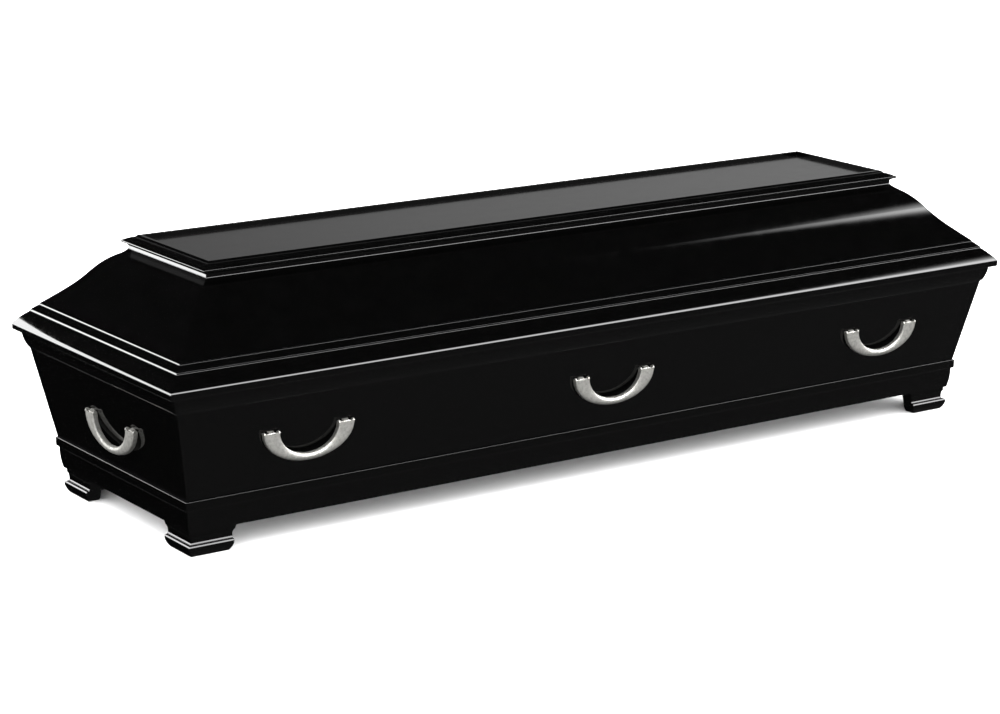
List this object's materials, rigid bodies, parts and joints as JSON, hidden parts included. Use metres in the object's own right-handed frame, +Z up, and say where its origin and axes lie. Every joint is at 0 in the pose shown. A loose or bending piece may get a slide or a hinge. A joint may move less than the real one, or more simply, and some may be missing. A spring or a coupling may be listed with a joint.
{
  "type": "coffin",
  "caption": "Long leaning-sided casket on bracket feet with moulded base and rims, a hollow ogee lid with a framed flat top, and swinging U-shaped metal bail handles.",
  "frame": {"origin": "on the floor under the middle of the coffin, at the bottom centre of its bounding box", "axes": "+X along the coffin, -Y out of the long side that the picture shows at the front, -X out of the end that it shows at the left, +Z up"},
  "size_m": [2.05, 0.65, 0.5309],
  "materials": {
    "black_lacquer": "polished high-gloss black lacquer on solid wood",
    "top_panel_lacquer": "high-gloss black lacquer on a flat panel",
    "bare_board": "unfinished pine board",
    "handle_metal": "satin silver casting"
  },
  "bodies": {
    "coffin": {"end_panel_left": "black_lacquer", "end_panel_right": "black_lacquer", "floor_board": "bare_board", "foot_back_left": "black_lacquer", "foot_back_right": "black_lacquer", "foot_front_left": "black_lacquer", "foot_front_right": "black_lacquer", "handle_lug_back_left_a": "handle_metal", "handle_lug_back_left_b": "handle_metal", "handle_lug_back_middle_a": "handle_metal", "handle_lug_back_middle_b": "handle_metal", "handle_lug_back_right_a": "handle_metal", "handle_lug_back_right_b": "handle_metal", "handle_lug_front_left_a": "handle_metal", "handle_lug_front_left_b": "handle_metal", "handle_lug_front_middle_a": "handle_metal", "handle_lug_front_middle_b": "handle_metal", "handle_lug_front_right_a": "handle_metal", "handle_lug_front_right_b": "handle_metal", "handle_lug_left_end_a": "handle_metal", "handle_lug_left_end_b": "handle_metal", "handle_lug_right_end_a": "handle_metal", "handle_lug_right_end_b": "handle_metal", "lid_rail_back": "black_lacquer", "lid_rail_front": "black_lacquer", "lid_rail_left": "black_lacquer", "lid_rail_right": "black_lacquer", "lid_side_back": "black_lacquer", "lid_side_front": "black_lacquer", "lid_side_left": "black_lacquer", "lid_side_right": "black_lacquer", "lid_top_frame_back": "black_lacquer", "lid_top_frame_front": "black_lacquer", "lid_top_frame_left": "black_lacquer", "lid_top_frame_right": "black_lacquer", "lid_top_panel": "top_panel_lacquer", "plinth_rail_back": "black_lacquer", "plinth_rail_front": "black_lacquer", "plinth_rail_left": "black_lacquer", "plinth_rail_right": "black_lacquer", "rim_rail_back": "black_lacquer", "rim_rail_front": "black_lacquer", "rim_rail_left": "black_lacquer", "rim_rail_right": "black_lacquer", "side_panel_back": "black_lacquer", "side_panel_front": "black_lacquer"},
    "front_left_handle": {"handle_bow_front_left": "handle_metal"},
    "front_middle_handle": {"handle_bow_front_middle": "handle_metal"},
    "front_right_handle": {"handle_bow_front_right": "handle_metal"},
    "back_left_handle": {"handle_bow_back_left": "handle_metal"},
    "back_middle_handle": {"handle_bow_back_middle": "handle_metal"},
    "back_right_handle": {"handle_bow_back_right": "handle_metal"},
    "left_end_handle": {"handle_bow_left_end": "handle_metal"},
    "right_end_handle": {"handle_bow_right_end": "handle_metal"}
  },
  "joints": [
    {"name": "front_left_handle_hinge", "type": "hinge", "parent": "coffin", "child": "front_left_handle", "pos_m": [-0.717, -0.29168, 0.2252], "axis": [-1, 0, 0], "range_deg": [-10, 90]},
    {"name": "front_middle_handle_hinge", "type": "hinge", "parent": "coffin", "child": "front_middle_handle", "pos_m": [0, -0.29168, 0.2252], "axis": [-1, 0, 0], "range_deg": [-10, 90]},
    {"name": "front_right_handle_hinge", "type": "hinge", "parent": "coffin", "child": "front_right_handle", "pos_m": [0.717, -0.29168, 0.2252], "axis": [-1, 0, 0], "range_deg": [-10, 90]},
    {"name": "back_left_handle_hinge", "type": "hinge", "parent": "coffin", "child": "back_left_handle", "pos_m": [-0.717, 0.29168, 0.2252], "axis": [1, 0, 0], "range_deg": [-10, 90]},
    {"name": "back_middle_handle_hinge", "type": "hinge", "parent": "coffin", "child": "back_middle_handle", "pos_m": [0, 0.29168, 0.2252], "axis": [1, 0, 0], "range_deg": [-10, 90]},
    {"name": "back_right_handle_hinge", "type": "hinge", "parent": "coffin", "child": "back_right_handle", "pos_m": [0.717, 0.29168, 0.2252], "axis": [1, 0, 0], "range_deg": [-10, 90]},
    {"name": "left_end_handle_hinge", "type": "hinge", "parent": "coffin", "child": "left_end_handle", "pos_m": [-0.9897, -0.02, 0.2154], "axis": [0, 1, 0], "range_deg": [-10, 90]},
    {"name": "right_end_handle_hinge", "type": "hinge", "parent": "coffin", "child": "right_end_handle", "pos_m": [0.9897, -0.02, 0.2154], "axis": [0, -1, 0], "range_deg": [-10, 90]}
  ]
}
